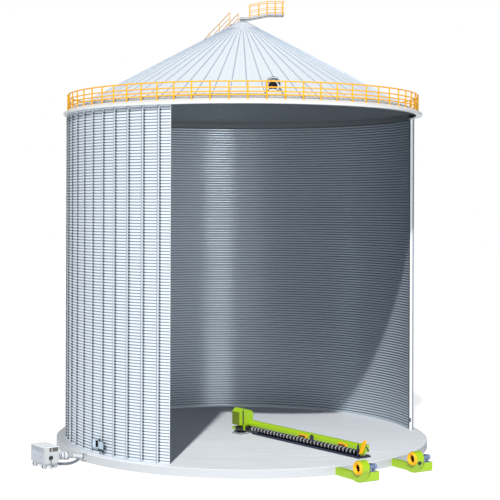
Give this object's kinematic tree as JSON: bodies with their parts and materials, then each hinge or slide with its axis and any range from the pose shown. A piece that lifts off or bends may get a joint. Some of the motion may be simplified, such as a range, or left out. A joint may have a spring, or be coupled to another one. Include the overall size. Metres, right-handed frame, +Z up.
{
  "type": "grain silo",
  "caption": "Corrugated flat-bottom grain silo cut away at the front right, with ribbed cone roof, guardrail, sweep auger, aeration fans and a grain cooler.",
  "frame": {"origin": "on the silo's axis at the underside of the foundation slab, where it rests on level ground", "axes": "+Z up along the silo's axis, -Y towards the front with the cut-away wall, +X to the right"},
  "size_m": [25.9801, 26.6667, 30.31],
  "materials": {
    "concrete": "matt float-finished concrete",
    "galvanised": "galvanised steel sheet, satin",
    "roof_sheet": "light blue-grey coated steel sheet, satin",
    "safety_yellow": "amber yellow gloss paint",
    "grating": "galvanised steel grating",
    "lime_green": "lime green gloss paint",
    "orange": "orange gloss paint",
    "motor_blue": "blue semi-gloss paint",
    "rubber_black": "black rubber and black painted plate, matt",
    "hatch_blue": "blue-grey semi-gloss paint",
    "screw_white": "off-white painted steel, worn bright at the edge",
    "cooler_grey": "light grey semi-gloss paint",
    "dark_steel": "dark grey painted steel"
  },
  "bodies": {
    "silo": {"foundation_slab": "concrete", "wall_front_left": "galvanised", "wall_hatch_right": "galvanised", "wall_hatch_left": "galvanised", "wall_over_hatch": "galvanised", "wall_under_hatch": "galvanised", "wall_left": "galvanised", "wall_back": "galvanised", "wall_right": "galvanised", "eave_ring": "galvanised", "roof_front": "roof_sheet", "roof_right": "roof_sheet", "roof_left": "roof_sheet", "peak_collar": "dark_steel", "guardrail_front": "safety_yellow", "guardrail_right": "safety_yellow", "guardrail_left": "safety_yellow", "roof_stair": "grating", "stair_rail_left": "safety_yellow", "stair_rail_right": "safety_yellow", "peak_catwalk": "grating", "catwalk_rail": "safety_yellow", "roof_vent": "roof_sheet", "hatch_frame": "hatch_blue", "sweep_base": "rubber_black", "fan_front_casing": "lime_green", "fan_front_inlet_ring": "orange", "fan_front_motor": "motor_blue", "fan_right_casing": "lime_green", "fan_right_inlet_ring": "orange", "fan_right_motor": "motor_blue", "fan_right_port": "dark_steel", "cooler_cabinet": "cooler_grey", "cooler_chassis": "dark_steel", "cooler_duct": "cooler_grey", "cooler_inlet": "cooler_grey"},
    "hatch": {"hatch_leaf": "hatch_blue"},
    "sweep": {"sweep_head": "lime_green", "sweep_mast": "dark_steel", "sweep_shield": "lime_green", "sweep_skirt": "rubber_black", "sweep_end_plate": "lime_green", "sweep_end_bar": "orange"},
    "screw": {"sweep_screw": "screw_white"},
    "impeller_front": {"fan_front_impeller": "galvanised"},
    "impeller_right": {"fan_right_impeller": "galvanised"}
  },
  "joints": [
    {"name": "hatch_hinge", "type": "hinge", "parent": "silo", "child": "hatch", "pos_m": [-9.21412, -7.99265, 1.16], "axis": [0, 0, -1], "range_deg": [0, 180]},
    {"name": "sweep_slew", "type": "hinge", "parent": "silo", "child": "sweep", "pos_m": [0, 0, 0.63], "axis": [0, 0, 1], "continuous": true},
    {"name": "screw_spin", "type": "hinge", "parent": "sweep", "child": "screw", "pos_m": [0.53395, 0.38794, 0.86], "axis": [0.5878, -0.809, 0], "continuous": true},
    {"name": "fan_front_spin", "type": "hinge", "parent": "silo", "child": "impeller_front", "pos_m": [6.6806, -13.51792, 0.85], "axis": [0.8572, 0.515, 0], "continuous": true},
    {"name": "fan_right_spin", "type": "hinge", "parent": "silo", "child": "impeller_right", "pos_m": [10.3306, -10.59792, 0.85], "axis": [0.8572, 0.515, 0], "continuous": true}
  ]
}
